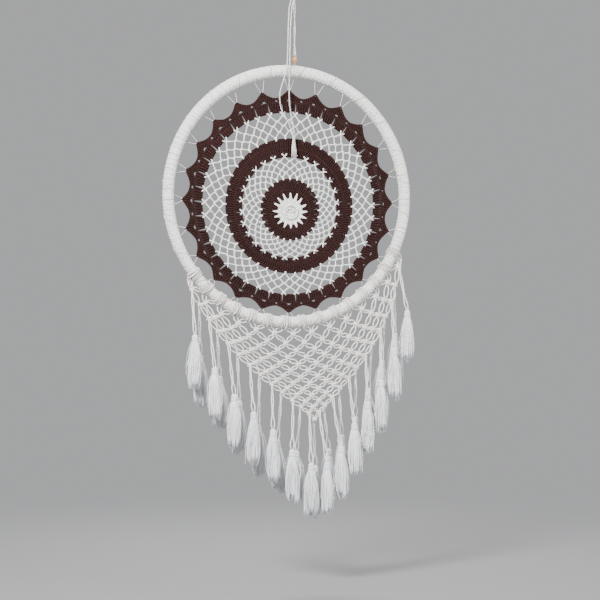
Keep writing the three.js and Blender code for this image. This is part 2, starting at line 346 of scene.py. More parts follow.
def new_group(name: str, inputs: dict[str, float | tuple], outputs: dict[str, str]) -> bpy.types.NodeTree:
    """Starts a shader node group.

    Args:
        name: the group's name.
        inputs: each input's name and default, a number or a colour.
        outputs: each output's name and socket type.

    Returns:
        The group, with its input and output nodes named "in" and "out".
    """
    group = bpy.data.node_groups.new(name, "ShaderNodeTree")
    for label, default in inputs.items():
        kind = "NodeSocketColor" if isinstance(default, tuple) else "NodeSocketFloat"
        socket = group.interface.new_socket(label, in_out="INPUT", socket_type=kind)
        socket.default_value = default
    for label, kind in outputs.items():
        group.interface.new_socket(label, in_out="OUTPUT", socket_type=kind)
    group.nodes.new("NodeGroupInput").name = "in"
    group.nodes.new("NodeGroupOutput").name = "out"
    return group


def fill(tree: bpy.types.NodeTree, node: bpy.types.Node, inputs: dict) -> None:
    """Sets or links a node's inputs.

    Args:
        tree: the node tree.
        node: the node.
        inputs: each input's name or number, with its value or the socket that feeds it.
    """
    for label, value in inputs.items():
        if isinstance(value, bpy.types.NodeSocket):
            tree.links.new(value, node.inputs[label])
        else:
            node.inputs[label].default_value = value


def add_node(tree: bpy.types.NodeTree, kind: str, inputs: dict, **settings: object) -> bpy.types.Node:
    """Adds a shader node.

    Args:
        tree: the node tree.
        kind: the node's type, without the ShaderNode that it starts with.
        inputs: each input's name or number, with its value or the socket that feeds it.
        settings: the node's own settings.

    Returns:
        The node.
    """
    node = tree.nodes.new(f"ShaderNode{kind}")
    for setting, value in settings.items():
        setattr(node, setting, value)
    fill(tree, node, inputs)
    return node


def math_node(tree: bpy.types.NodeTree, operation: str, *values: object) -> bpy.types.NodeSocket:
    """Adds a Math node.

    Args:
        tree: the node tree.
        operation: the Math node's operation.
        values: its one or two numbers or sockets.

    Returns:
        The node's result.
    """
    return add_node(tree, "Math", dict(enumerate(values)), operation=operation).outputs[0]


def start_material(name: str, inputs: dict) -> tuple[bpy.types.Material, bpy.types.Node]:
    """Starts a material.

    Args:
        name: the material's name.
        inputs: the values that its shader keeps on its own sockets.

    Returns:
        The material and its shader.
    """
    material = bpy.data.materials.new(name)
    material.use_nodes = True
    shader = material.node_tree.nodes["Principled BSDF"]
    fill(material.node_tree, shader, inputs)
    return material, shader


def twist_group() -> bpy.types.NodeTree:
    """Builds the group that gives a strand its twisted plies and loose fibres.

    Returns:
        A group whose Height feeds a Bump node and whose Groove is 1 between the plies, the mask for the
        painted shade there.
    """
    group = new_group(
        "yarn_twist",
        {"Plies": 2.0, "Pitch": 5.0, "Fuzz": 0.4},
        {"Height": "NodeSocketFloat", "Groove": "NodeSocketFloat", "Tone": "NodeSocketFloat"},
    )
    given, result = group.nodes["in"].outputs, group.nodes["out"].inputs
    parts = add_node(group, "SeparateXYZ", {0: add_node(group, "UVMap", {}).outputs[0]})
    around = math_node(group, "MULTIPLY", parts.outputs[0], given["Plies"])
    along = math_node(group, "DIVIDE", parts.outputs[1], given["Pitch"])
    turn = math_node(group, "MULTIPLY", math_node(group, "ADD", around, along), math.pi)
    ridge = math_node(group, "ABSOLUTE", math_node(group, "SINE", turn))
    place = add_node(group, "TexCoord", {}).outputs["Object"]
    hairs = add_node(group, "TexNoise", {"Scale": 1400, "Detail": 3, "Vector": place})
    scaled = math_node(group, "MULTIPLY", hairs.outputs[0], given["Fuzz"])
    group.links.new(math_node(group, "ADD", ridge, scaled), result["Height"])
    low = math_node(group, "SUBTRACT", 1.0, ridge)
    group.links.new(math_node(group, "POWER", low, 2.0), result["Groove"])
    patches = add_node(group, "TexNoise", {"Scale": 45, "Vector": place})
    shade = add_node(group, "Attribute", {}, attribute_name="shade")
    mixed = math_node(group, "ADD", patches.outputs[0], shade.outputs["Fac"])
    group.links.new(math_node(group, "MULTIPLY", mixed, 0.5), result["Tone"])
    return group


@dataclass(frozen=True)
class YarnFinish:
    """How one kind of yarn or cord looks."""

    name: str
    slot: str
    light: tuple[float, float, float]
    dark: tuple[float, float, float]
    plies: float = 2.0
    pitch: float = 5.0
    fuzz: float = 0.4
    relief: float = 0.0002
    sheen: float = 0.3
    # Painted shade between the plies: how strongly the grooves are darkened, and how dark they get.
    groove_shade_strength: float = 0.6
    groove_shade: float = 0.35

    def material(self, twist: bpy.types.NodeTree) -> bpy.types.Material:
        """Builds the material.

        Args:
            twist: the shared group that twists the plies.

        Returns:
            The new material.
        """
        light, dark = (*self.light, 1), (*self.dark, 1)
        fixed = {
            "Sheen Weight": self.sheen,
            "Sheen Roughness": 0.5,
            "Sheen Tint": (*(channel / max(self.light) for channel in self.light), 1),
            "Specular IOR Level": 0.2,
            "Roughness": 0.92,
        }
        material, shader = start_material(self.name, fixed)
        tree = material.node_tree
        lay = {"Plies": self.plies, "Pitch": self.pitch, "Fuzz": self.fuzz}
        yarn = add_node(tree, "Group", lay, node_tree=twist).outputs
        tones = add_node(tree, "Mix", {"A": dark, "B": light, "Factor": yarn["Tone"]}, data_type="RGBA")
        # Painted shade: the grooves between the plies are mixed towards a darker copy of the dark colour.
        depth = math_node(tree, "MULTIPLY", yarn["Groove"], self.groove_shade_strength)
        shadow = (*(channel * self.groove_shade for channel in self.dark), 1)
        ends = {"A": tones.outputs["Result"], "B": shadow, "Factor": depth}
        groove_shaded = add_node(tree, "Mix", ends, data_type="RGBA")
        bump = add_node(tree, "Bump", {"Strength": 0.7, "Distance": self.relief, "Height": yarn["Height"]})
        fill(tree, shader, {"Base Color": groove_shaded.outputs["Result"], "Normal": bump.outputs["Normal"]})
        return material


@dataclass(frozen=True)
class WoodFinish:
    """Plain wood with rings of grain round an upright axis."""

    name: str
    slot: str
    light: tuple[float, float, float]
    dark: tuple[float, float, float]
    ring_scale: float
    roughness: float
    coat: float

    def material(self) -> bpy.types.Material:
        """Builds and returns the material."""
        light, dark = (*self.light, 1), (*self.dark, 1)
        material, shader = start_material(self.name, {"Coat Weight": self.coat, "Coat Roughness": 0.25})
        tree = material.node_tree
        place = add_node(tree, "TexCoord", {}).outputs["Object"]
        rings = {"Scale": self.ring_scale, "Distortion": 4.0, "Detail": 3.0, "Vector": place}
        grain = add_node(tree, "TexWave", rings, bands_direction="X").outputs["Fac"]
        tones = add_node(tree, "Mix", {"A": light, "B": dark, "Factor": grain}, data_type="RGBA")
        reach = {"To Min": self.roughness, "To Max": self.roughness + 0.2, "Value": grain}
        rough = add_node(tree, "MapRange", reach).outputs["Result"]
        bump = add_node(tree, "Bump", {"Strength": 0.3, "Distance": 0.0001, "Height": grain})
        worn = {"Base Color": tones.outputs["Result"], "Roughness": rough, "Normal": bump.outputs["Normal"]}
        fill(tree, shader, worn)
        return material


class Finish(Enum):
    """Every finish on the object."""

    CORD = YarnFinish(
        "cotton_cord", "cotton_cord", (0.84, 0.82, 0.79), (0.66, 0.63, 0.59), plies=3, pitch=6.0
    )
    WRAP = YarnFinish(
        "hoop_yarn", "wrapping_yarn", (0.86, 0.85, 0.83), (0.77, 0.755, 0.735),
        pitch=4.0, fuzz=0.5, relief=0.0001, groove_shade_strength=0.3,
    )  # fmt: skip
    CROCHET = YarnFinish("white_crochet", "white_crochet", (0.86, 0.86, 0.84), (0.72, 0.71, 0.69), pitch=3.5)
    BROWN = YarnFinish(
        "brown_crochet", "brown_yarn", (0.026, 0.0080, 0.0068), (0.0055, 0.0020, 0.0018),
        pitch=3.0, fuzz=0.5, sheen=0.1,
    )  # fmt: skip
    THREAD = YarnFinish("lacing_thread", "lacing", (0.80, 0.78, 0.74), (0.64, 0.61, 0.57), pitch=2.0)
    TASSEL = YarnFinish(
        "tassel_yarn", "tassel_yarn", (0.89, 0.895, 0.91), (0.68, 0.69, 0.71), fuzz=0.6, relief=0.0001
    )
    BEAD = WoodFinish(
        "bead_wood", "bead_wood", (0.56, 0.31, 0.12), (0.36, 0.17, 0.06),
        ring_scale=260, roughness=0.35, coat=0.35,
    )  # fmt: skip
    CANE = WoodFinish(
        "cane", "cane", (0.50, 0.34, 0.18), (0.36, 0.22, 0.11), ring_scale=120, roughness=0.6, coat=0.0
    )


class Wardrobe:
    """Holds one material for each finish and puts them on pieces."""

    def __init__(self) -> None:
        """Builds every material once."""
        twist = twist_group()
        self.materials = {}
        for finish in Finish:
            needs = (twist,) if isinstance(finish.value, YarnFinish) else ()
            self.materials[finish] = finish.value.material(*needs)

    def dress(self, piece: bpy.types.Object, finish: Finish, body: str, *nodes: str) -> bpy.types.Object:
        """Gives a piece its finish, its body and the nodes that it stands for.

        Args:
            piece: the piece.
            finish: its finish.
            body: the body that it moves with.
            nodes: the frame's nodes that it stands for.

        Returns:
            The same piece.
        """
        piece.data.materials.clear()
        piece.data.materials.append(self.materials[finish])
        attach(piece, body)
        if nodes:
            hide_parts(*nodes)
        log.info("%s: %d faces on %s", piece.name, len(piece.data.polygons), body)
        return piece


# ---------------------------------------------------------------- studio


@dataclass
class Studio:
    """The camera, the lights and a pale floor."""

    azimuth: float = -20.0
    distance: float = 2600.0
    picture_width: float = 801.6
    aim_right: float = 14.9
    aim_down: float = 138.0
    floor_drop: float = 90.0
    floor_radius: float = 9000.0
    floor_fade: tuple[float, float] = (150.0, 1500.0)
    backdrop: tuple[float, float, float] = (0.44, 0.445, 0.455)
    floor_colour: tuple[float, float, float] = (0.19, 0.19, 0.195)
    sensor_width: float = 36.0
    lights: tuple = (
        ("key", (-1250, -1300, 1000), 480, 125),
        ("fill", (1400, -1200, 100), 1200, 44),
        ("back", (500, 1300, 900), 900, 60),
        ("low", (-300, -1700, -900), 1100, 44),
    )

    def add_camera(self) -> None:
        """Puts the camera to the left of the hoop's face, level with it."""
        angle = math.radians(self.azimuth)
        right = Vector((math.cos(angle), math.sin(angle), 0))
        away = Vector((math.sin(angle), -math.cos(angle), 0))
        target = middle_of("hoop_wrap") + right * self.aim_right - UP * self.aim_down
        camera = bpy.data.objects.new("camera", bpy.data.cameras.new("camera"))
        bpy.context.collection.objects.link(camera)
        camera.location = (target + away * self.distance) * MM
        camera.rotation_euler = (-away).to_track_quat("-Z", "Y").to_euler()
        camera.data.sensor_width = self.sensor_width
        camera.data.lens = camera.data.sensor_width * self.distance / self.picture_width
        bpy.context.scene.camera = camera

    def add_light(self, name: str, place: tuple[float, float, float], size: float, power: float) -> None:
        """Adds a square soft light that faces the hoop.

        Args:
            name: the light's name.
            place: where it stands, from the hoop's middle.
            size: its width.
            power: its power in watts.
        """
        middle = middle_of("hoop_wrap")
        light = bpy.data.objects.new(name, bpy.data.lights.new(name, "AREA"))
        bpy.context.collection.objects.link(light)
        light.data.size = size * MM
        light.data.energy = power
        light.location = (middle + Vector(place)) * MM
        light.rotation_euler = (-Vector(place)).to_track_quat("-Z", "Y").to_euler()

    def floor_paint(self) -> bpy.types.Material:
        """Returns a matt floor that fades into the surroundings' own tone, so that no horizon shows."""
        fixed = {"Base Color": (*self.floor_colour, 1), "Roughness": 0.9, "Specular IOR Level": 0.1}
        paint, shader = start_material("floor", fixed)
        tree = paint.node_tree
        glow = add_node(tree, "Emission", {"Color": (*self.backdrop, 1)})
        place = add_node(tree, "TexCoord", {}).outputs["Object"]
        flat = add_node(tree, "VectorMath", {0: place, 1: (1, 1, 0)}, operation="MULTIPLY")
        reach = add_node(tree, "VectorMath", {0: flat.outputs[0]}, operation="LENGTH").outputs["Value"]
        near, far = self.floor_fade
        span = {"From Min": near * MM, "From Max": far * MM, "Value": reach}
        fade = add_node(tree, "MapRange", span, interpolation_type="SMOOTHERSTEP").outputs["Result"]
        mix = add_node(tree, "MixShader", {0: fade, 1: shader.outputs[0], 2: glow.outputs[0]})
        tree.links.new(mix.outputs[0], tree.nodes["Material Output"].inputs["Surface"])
        return paint

    def add_surroundings(self) -> None:
        """Adds the floor, the plain surroundings and four soft lights."""
        low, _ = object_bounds()
        work = bmesh.new()
        bmesh.ops.create_circle(work, cap_ends=True, segments=96, radius=self.floor_radius * MM)
        bmesh.ops.translate(work, verts=work.verts, vec=(0, 0, low[2] - self.floor_drop * MM))
        floor = finished("floor", work)
        floor.data.materials.append(self.floor_paint())
        floor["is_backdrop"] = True
        world = bpy.data.worlds.new("studio")
        world.use_nodes = True
        world.node_tree.nodes["Background"].inputs["Color"].default_value = (*self.backdrop, 1)
        bpy.context.scene.world = world
        for name, place, size, power in self.lights:
            self.add_light(name, place, size, power)


# ---------------------------------------------------------------- hoop


@dataclass
class Hoop:
    """The cane hoop and the yarn that is wound closely round it."""

    centre_radius: float = 167.5
    tube_radius: float = 6.75
    top_thickening: float = 0.5
    yarn_radius: float = 1.0
    turn_pitch: float = 1.75
    turn_points: int = 14
    unevenness: float = 0.08
    turn_wander: float = 0.25
    middle: Vector = field(default_factory=lambda: middle_of("hoop_wrap"))

    def tube_at(self, turn: float) -> float:
        """Returns the radius that the yarn's middle winds at, by the angle from straight down in radians."""
        return self.tube_radius - self.top_thickening * math.cos(turn)

    def outside_at(self, turn: float) -> float:
        """Returns the wound tube's outer radius, by the angle from straight down in radians."""
        return self.tube_at(turn) + self.yarn_radius

    def point(self, turn: float, radius: float = 0.0, depth: float = 0.0) -> Vector:
        """Finds a point by the hoop.

        Args:
            turn: the angle from straight down towards +X, in radians.
            radius: the distance from the hoop's middle.
            depth: the distance behind the hoop's plane.

        Returns:
            The point.
        """
        return self.middle + Vector((radius * math.sin(turn), depth, -radius * math.cos(turn)))

    def around(self, turn: float, spin: float, radius: float) -> Vector:
        """Finds a point round the hoop's tube.

        Args:
            turn: the angle along the hoop, in radians.
            spin: the angle round the tube, from the side that faces the hoop's middle, through the back.
            radius: the distance from the tube's middle.

        Returns:
            The point.
        """
        return self.point(turn, self.centre_radius - radius * math.cos(spin), radius * math.sin(spin))

    def wind(self) -> YarnWork:
        """Winds the yarn round the hoop in one long spiral and returns the work."""
        chance = random.Random(11)
        work = YarnWork(self.yarn_radius)
        turns = round(FULL_TURN * self.centre_radius / self.turn_pitch)
        swell = [chance.uniform(-1, 1) for _ in range(turns + 2)]
        line: Line = []
        for k in range(turns * self.turn_points + 1):
            turn_number, share = divmod(k / self.turn_points, 1)
            uneven = swell[int(turn_number)] * (1 - share) + swell[int(turn_number) + 1] * share
            turn = math.pi + FULL_TURN * (k / self.turn_points + self.turn_wander * uneven) / turns
            radius = self.tube_at(turn) + self.unevenness * uneven
            line.append(self.around(turn, FULL_TURN * share, radius))
        work.add(line)
        return work


# ---------------------------------------------------------------- doily


@dataclass
class Doily:
    """The crocheted doily, round by round from its middle."""

    hoop: Hoop
    medallion: float = 16.5
    ray_tip: float = 24.0
    inner_band: float = 40.5
    inner_netting: float = 67.0
    middle_band: float = 89.0
    outer_netting: float = 121.0
    fan_foot: float = 134.0
    scallop_root: float = 139.0
    scallop_tip: float = 149.0
    rim_drop: float = 6.0
    middle_drop: float = 21.5
    middle_shift: float = 2.0
    rays: int = 16
    inner_cells: int = 28
    outer_cells: int = 42
    scallops: int = 24
    brown_radius: float = 1.1
    netting_radius: float = 0.72
    white_radius: float = 0.85
    thread_radius: float = 0.34
    inner_levels: tuple = (43.7, 48.3, 53.2, 58.2, 62.8, 66.6)
    outer_levels: tuple = (92.6, 98.6, 104.8, 111.2, 117.6)
    inner_grip: float = 4.2
    outer_grip: float = 5.0
    inner_posts: int = 66
    middle_posts: int = 164
    scallop_posts: int = 12
    post_recess: float = 0.45
    post_lift: float = 0.75
    post_inset: float = 0.5
    chain_inset: float = 0.4
    ridge_thickness: float = 0.82
    ring_radius: float = 9.0
    thread_splay: float = 2.3
    chance: random.Random = field(default_factory=lambda: random.Random(23))

    def point(self, radius: float, turn: float, depth: float = 0.0) -> Vector:
        """Finds a point of the doily, whose rounds sag more towards its middle.

        Args:
            radius: the distance from the round's own middle.
            turn: the angle from +X towards +Z, in radians.
            depth: the distance behind the doily's plane.

        Returns:
            The point.
        """
        sag = 1 - radius / self.scallop_tip
        drop = self.rim_drop + (self.middle_drop - self.rim_drop) * sag
        reach = Vector((radius * math.cos(turn), depth, radius * math.sin(turn)))
        return self.hoop.middle + Vector((self.middle_shift * sag, 0, -drop)) + reach

    def add_post(self, work: YarnWork, foot: tuple, top: tuple, spread: float) -> None:
        """Adds a tall crochet stitch: a wavy ridge with painted light in front of two strands with painted
        shade.

        Args:
            work: the yarn work that it goes to.
            foot: the radius and angle where the stitch stands.
            top: the radius and angle where it ends.
            spread: half the distance between the strands behind.
        """
        start = self.chance.uniform(0, FULL_TURN)
        for side in (-1, 1, 0):
            line: Line = []
            for share in shares(5):
                radius = foot[0] + (top[0] - foot[0]) * share
                turn = foot[1] + (top[1] - foot[1]) * share
                wave = 0 if side else 0.45 * math.sin(start + 1.4 * FULL_TURN * share)
                depth = self.post_recess if side else -self.post_lift
                line.append(self.point(radius, turn + (side + wave) * spread / radius, depth))
            # Painted shade on the two strands behind and painted light on the ridge in front.
            shade = 0.0 if side else 0.85 + 0.15 * math.sin(start)
            work.add(line, 1.0 if side else self.ridge_thickness, shade=shade)

    def add_chain(self, work: YarnWork, radius: float, count: int, depth: float = -0.7) -> None:
        """Adds a round of small overlapping V-shaped loops, as the top of a round of crochet has.

        Args:
            work: the yarn work that it goes to.
            radius: the round's radius.
            count: the number of loops.
            depth: how far behind the doily's plane the loops' middles lie.
        """
        step = FULL_TURN / count
        for i in range(count):
            for side in (-1, 1):
                line = [
                    self.point(radius + side * 0.25, step * (i - 0.15), depth + 0.45),
                    self.point(radius + side * 0.8, step * (i + 0.35), depth),
                    self.point(radius + side * 0.7, step * (i + 0.8), depth - 0.1),
                    self.point(radius + side * 0.1, step * (i + 1.2), depth + 0.5),
                ]
                work.add(line, 0.85)

    def add_round(self, work: YarnWork, inner: float, outer: float, count: int) -> None:
        """Adds an even round of posts with its chain on top.

        Args:
            work: the yarn work that it goes to.
            inner: the round's inner radius.
            outer: its outer radius.
            count: the number of posts.
        """
        step = FULL_TURN / count
        for i in range(count):
            lean = self.chance.uniform(-0.12, 0.12) * step
            self.add_post(work, (inner, step * i), (outer - self.post_inset, step * i + lean), 0.7)
        self.add_chain(work, outer - self.chain_inset, count)

    def add_blocks(
        self, work: YarnWork, inner: float, outer: float, blocks: int, start: float, posts: int = 5
    ) -> None:
        """Adds a round of posts in fans, with a gap at each fan's side for the netting's fork.

        Args:
            work: the yarn work that it goes to.
            inner: the round's inner radius.
            outer: its outer radius.
            blocks: the number of fans.
            start: where the first fan's middle is, in fans from +X.
            posts: the posts in each fan.
        """
        step = FULL_TURN / blocks
        for i in range(blocks):
            middle = step * (i + start)
            for k in range(posts):
                share = (k - (posts - 1) / 2) / posts * 2
                foot = (inner + 0.6 * share * share, middle + share * step * 0.42)
                self.add_post(work, foot, (outer - self.post_inset, middle + share * step * 0.5), 0.85)
        self.add_chain(work, outer - self.chain_inset, blocks * posts)

    def make_inner_band(self) -> bpy.types.Object:
        """Makes the small brown band: a round in fans under the rays, and an even round."""
        work = YarnWork(self.brown_radius)
        half = (self.medallion + self.inner_band) / 2
        self.add_blocks(work, self.medallion + 1.5, half, self.rays, 0.5, 3)
        self.add_round(work, half, self.inner_band, self.inner_posts)
        return work.build("crochet_inner_band")

    def make_middle_band(self) -> bpy.types.Object:
        """Makes the large brown band: a round in fans and an even round."""
        work = YarnWork(self.brown_radius)
        half = (self.inner_netting + self.middle_band) / 2
        self.add_blocks(work, self.inner_netting, half, self.inner_cells, 0)
        self.add_round(work, half, self.middle_band, self.middle_posts)
        return work.build("crochet_middle_band")

    def make_netting(self, name: str, levels: tuple, cells: int, grip: float) -> bpy.types.Object:
        """Makes netting of linked zigzag rounds, with teeth on its inside and forks on its outside.

        Args:
            name: the piece's name.
            levels: the radius of each round of knots.
            cells: the number of cells in a round.
            grip: how far the forks reach beyond the last knots.

        Returns:
            The netting.
        """
        work = YarnWork(self.netting_radius)
        step = FULL_TURN / cells
        shifts = [[self.chance.uniform(-0.06, 0.06) for _ in range(cells)] for _ in levels]
        lifts = [[self.chance.uniform(-0.7, 0.7) for _ in range(cells)] for _ in levels]

        def knot(level: int, number: int, aside: float, rise: float, depth: float = 0.0) -> Vector:
            """Returns a point by a knot: so far aside, outwards and behind."""
            turn = step * (number + level / 2 + shifts[level][number % cells])
            radius = levels[level] + lifts[level][number % cells] + rise
            return self.point(radius, turn + aside / radius, depth)

        for level in range(len(levels) - 1):
            corners: Line = []
            for k in range(cells):
                corners += [knot(level, k, -0.35, -0.7, 0.3), knot(level, k, 0.35, -0.7, 0.3)]
                corners += [knot(level + 1, k, -0.35, 0.7, -0.3), knot(level + 1, k, 0.35, 0.7, -0.3)]
            for strand in plied(curved(corners, closed=True), 2, 0.44, 3.8, closed=True):
                work.add(strand, closed=True)
        for level in range(len(levels)):
            for k in range(cells):
                self._add_tie(work, lambda aside, rise, depth: knot(level, k, aside, rise, depth))
        last = len(levels) - 1
        for k in range(cells):
            for side in (-1, 1):
                tooth = [knot(0, k, side * 0.7, 0.8, -0.3), knot(0, k, side * 0.6, -1.4, -0.9)]
                tooth += [knot(0, k, side * 0.25, -3.6, -1.6), knot(0, k, side * 0.1, -4.2, 0.2)]
                work.add(curved(tooth, 1.4), 1.25)
                fork = [knot(last, k, side * 0.3, -0.5, 0.1), knot(last, k, side * 0.8, grip * 0.35, -0.9)]
                fork += [knot(last, k, side * 2.7, grip * 0.85, -1.7), knot(last, k, side * 3.3, grip, 0.3)]
                work.add(curved(fork, 1.4), 1.25)
        return work.build(name)

    @staticmethod
    def _add_tie(work: YarnWork, place: Callable[[float, float, float], Vector]) -> None:
        """Adds the small wrap that holds two rounds of netting together.

        Args:
            work: the yarn work that it goes to.
            place: gives a point from its distance aside, outwards and behind.
        """
        line: Line = []
        steps = 8
        for i in range(steps):
            spin = FULL_TURN * i / steps
            line.append(place(0.85 * math.cos(spin), 0.35 * math.cos(spin), 1.0 * math.sin(spin)))
        work.add(line, 0.95, closed=True)

    def make_medallion(self) -> bpy.types.Object:
        """Makes the white middle: rounds of short stitches, a raised ring with a nub, and tapering rays."""
        work = YarnWork(self.white_radius)
        spiral: Line = []
        steps = 45
        for i in range(steps + 1):
            turns = 1.55 * i / steps
            reach = self.ring_radius * (1 - 0.72 * max(0.0, turns - 0.9) / 0.65)
            spiral.append(self.point(reach, 3.6 - FULL_TURN * turns, -2.9))
        for strand in plied(spiral, 2, 0.55, 5.5):
            work.add(strand, 1.25, shade=1.0)
        nub = [self.point(radius, 2.2, depth) for radius, depth in ((3.4, -0.8), (1.8, -2.6), (0.3, -1.0))]
        work.add(curved(nub, 0.8), 1.7, shade=1.0)
        rounds = ((0.6, 4.2, 9), (3.8, 7.6, 16), (7.2, 11.4, 26), (11.0, self.medallion - 0.9, 36))
        for inner, outer, count in rounds:
            step = FULL_TURN / count
            for i in range(count):
                turn = step * i + inner
                line = [
                    self.point(inner, turn, -0.2),
                    self.point((inner + outer) / 2, turn, -1.1 - self.chance.uniform(0, 0.4)),
                    self.point(outer, turn + step * 0.3, -0.3),
                ]
                work.add(curved(line, 1.2), 1.15)
            self.add_chain(work, outer, count, -0.6)
        for i in range(self.rays):
            self._add_ray(work, FULL_TURN * i / self.rays + self.chance.uniform(-0.04, 0.04))
        return work.build("crochet_medallion")

    def _add_ray(self, work: YarnWork, turn: float) -> None:
        """Adds one ray: strands that draw together over the brown band to a tip."""
        tip = self.ray_tip + self.chance.uniform(-0.8, 0.8)
        base = self.medallion - 2.2
        for across in (-1.15, 0.0, 1.15):
            line = [
                self.point(base, turn + across / base, -0.8),
                self.point(base + 2.5, turn + across * 0.8 / base, -1.7),
                self.point(tip - 1.5, turn + across * 0.3 / tip, -1.9),
                self.point(tip, turn + across * 0.15 / tip, -0.4),
            ]
            work.add(curved(line), 1.0)

    def outline(self, turn: float) -> float:
        """Returns the border's outer radius: pointed tips with round arches between them."""
        share = abs(2 * ((turn * self.scallops / FULL_TURN + 0.5) % 1) - 1)
        depth = self.scallop_tip - self.scallop_root
        return self.scallop_tip - depth * math.sin(math.pi / 2 * share) ** 0.85

    def make_border(self) -> bpy.types.Object:
        """Makes the border: a round in fans, then a fan up to each tip, and a twisted edge."""
        work = YarnWork(self.brown_radius)
        self.add_blocks(work, self.outer_netting, self.fan_foot, self.outer_cells, 0.5)
        step = FULL_TURN / self.scallops
        posts = self.scallop_posts
        for i in range(self.scallops):
            for k in range(posts):
                share = (k - (posts - 1) / 2) / posts * 2
                foot = self.fan_foot + 0.3 + 3.2 * math.exp(-((share / 0.25) ** 2))
                top = step * (i + share / 2)
                self.add_post(work, (foot, step * (i + share * 0.4)), (self.outline(top) - 0.9, top), 0.8)
        edge: Line = []
        marks = self.scallops * 20
        for i in range(marks):
            turn = FULL_TURN * i / marks
            edge.append(self.point(self.outline(turn) - 0.5, turn, -0.2))
        for strand in plied(edge, 2, 0.62, 4.2, closed=True):
            work.add(strand, closed=True)
        return work.build("crochet_border")

    def make_lacing(self) -> bpy.types.Object:
        """Makes the thread that runs from tip to hoop, round the tube and on to the next tip."""
        work = YarnWork(self.thread_radius)
        line: Line = []
        step = FULL_TURN / self.scallops
        splay = math.radians(self.thread_splay)
        for i in range(self.scallops):
            tip = self.point(self.scallop_tip - 1.2, step * i, -0.6)
            reach = tip - self.hoop.middle
            turn = math.atan2(reach.x, -reach.z)
            line.append(tip)
            for share in shares(14):
                along = turn + splay + (step - 2 * splay) * share
                outside = self.hoop.outside_at(along) + 0.25
                line.append(self.hoop.around(along, FULL_TURN * share, outside))
        work.add(curved(line, closed=True), closed=True)
        return work.build("lacing")

    def build(self, wardrobe: Wardrobe) -> None:
        """Makes and dresses every round of the doily and its lacing."""
        white, brown = Finish.CROCHET, Finish.BROWN
        wardrobe.dress(self.make_medallion(), white, "hoop", "centre_medallion")
        wardrobe.dress(self.make_inner_band(), brown, "hoop", "inner_band")
        cells, grip = self.inner_cells, self.inner_grip
        inner = self.make_netting("crochet_inner_netting", self.inner_levels, cells, grip)
        wardrobe.dress(inner, white, "hoop", "inner_netting")
        wardrobe.dress(self.make_middle_band(), brown, "hoop", "middle_band")
        cells, grip = self.outer_cells, self.outer_grip
        outer = self.make_netting("crochet_outer_netting", self.outer_levels, cells, grip)
        wardrobe.dress(outer, white, "hoop", "outer_netting")
        wardrobe.dress(self.make_border(), brown, "hoop", "scalloped_border")
        wardrobe.dress(self.make_lacing(), Finish.THREAD, "hoop", "lacing_thread")


# ---------------------------------------------------------------- net and hitches


